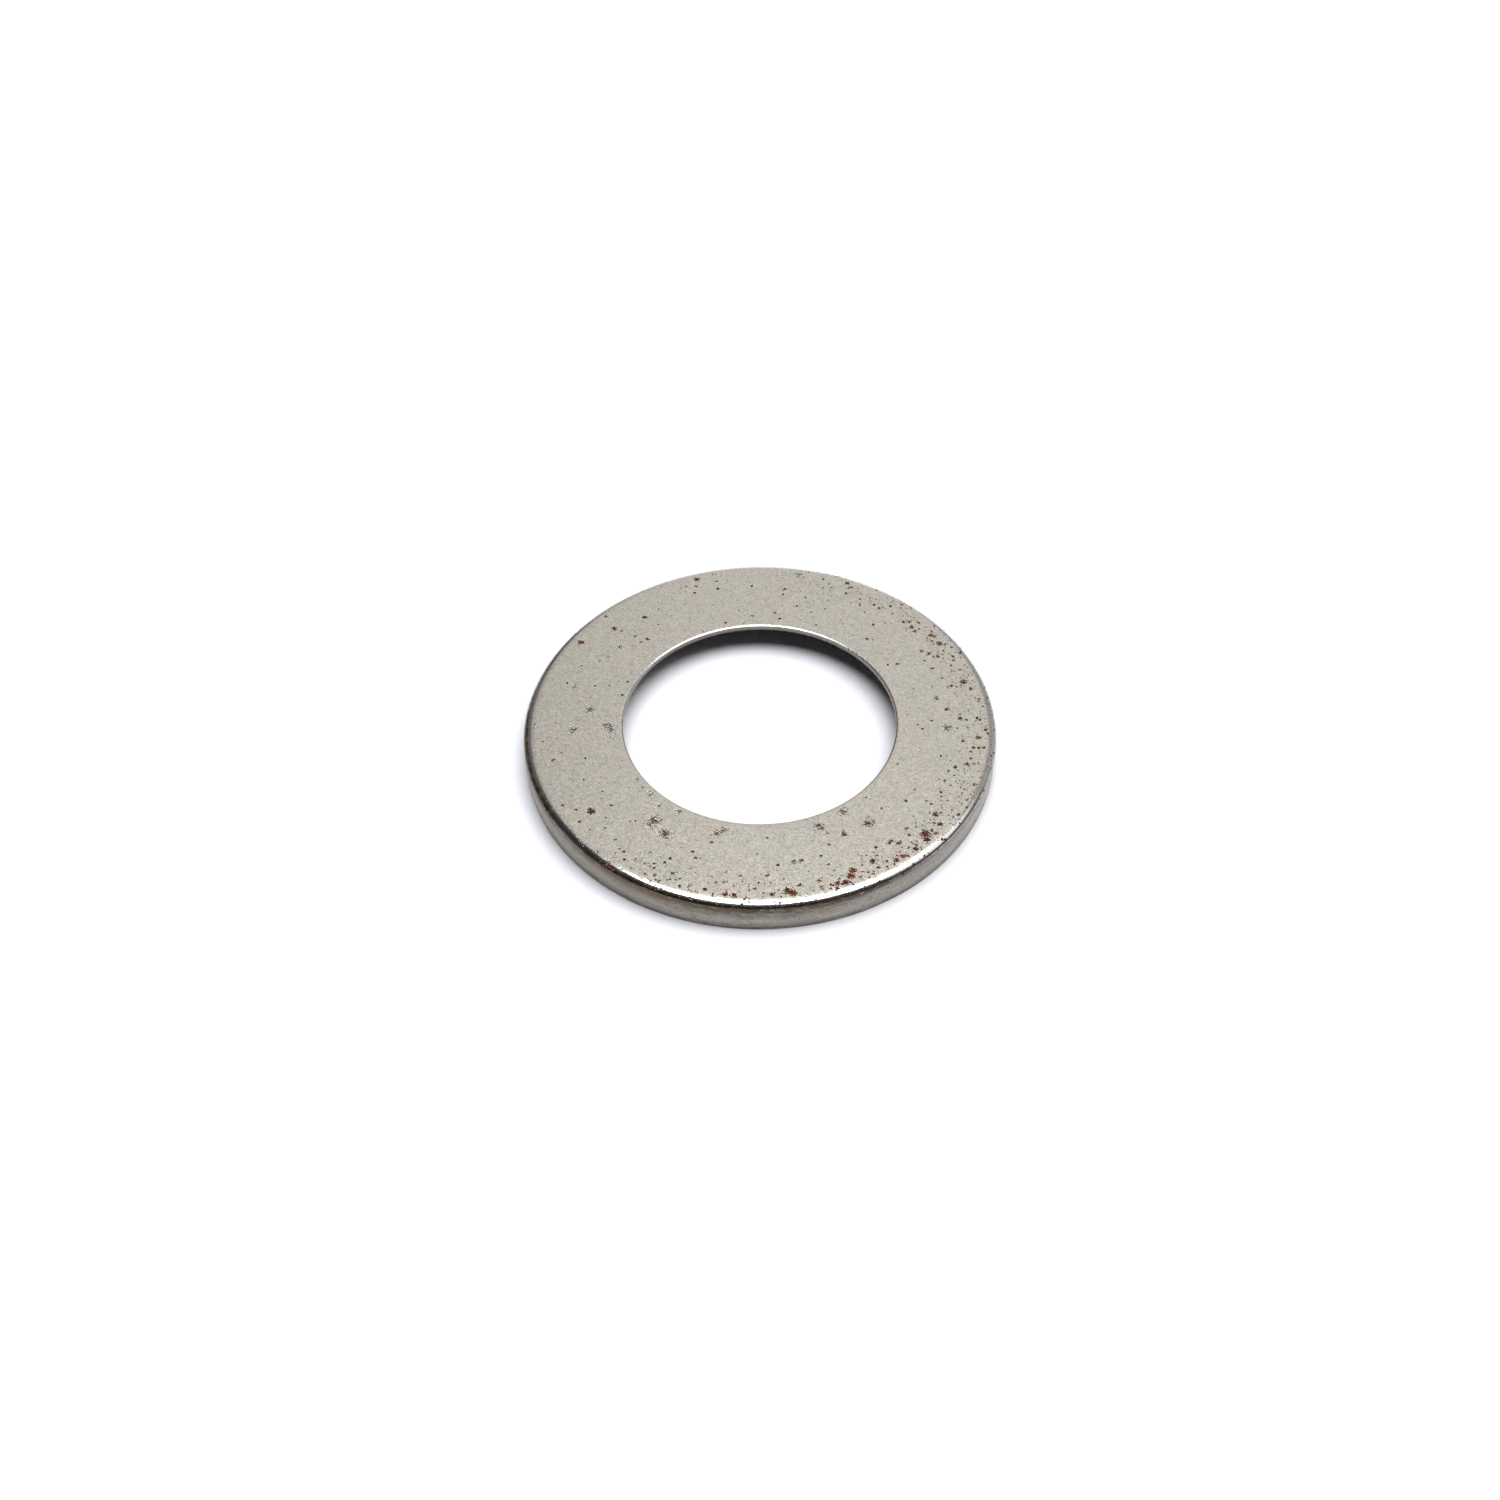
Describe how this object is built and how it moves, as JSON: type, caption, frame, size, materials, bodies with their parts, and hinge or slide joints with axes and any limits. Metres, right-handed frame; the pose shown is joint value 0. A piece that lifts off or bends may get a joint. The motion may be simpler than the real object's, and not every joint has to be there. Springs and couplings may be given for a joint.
{
  "type": "cup washer",
  "caption": "Pressed steel cup washer: flat ring web with a round bore, a rounded shoulder and a short turned-down skirt that stands on the mating face.",
  "frame": {"origin": "on the bore's axis, in the plane of the skirt's lower edge, which is the plane the washer stands on", "axes": "+Z along the bore's axis from the open underside towards the closed web; X and Y are any two radii, because the part is turned"},
  "size_m": [0.052, 0.052, 0.0037],
  "materials": {
    "washer_steel": "bare tumbled steel with fine grain, pale scratches and small brown rust flecks, brighter on the rubbed shoulder and bore edge"
  },
  "bodies": {
    "root": {"cup_washer": "washer_steel"}
  },
  "joints": []
}
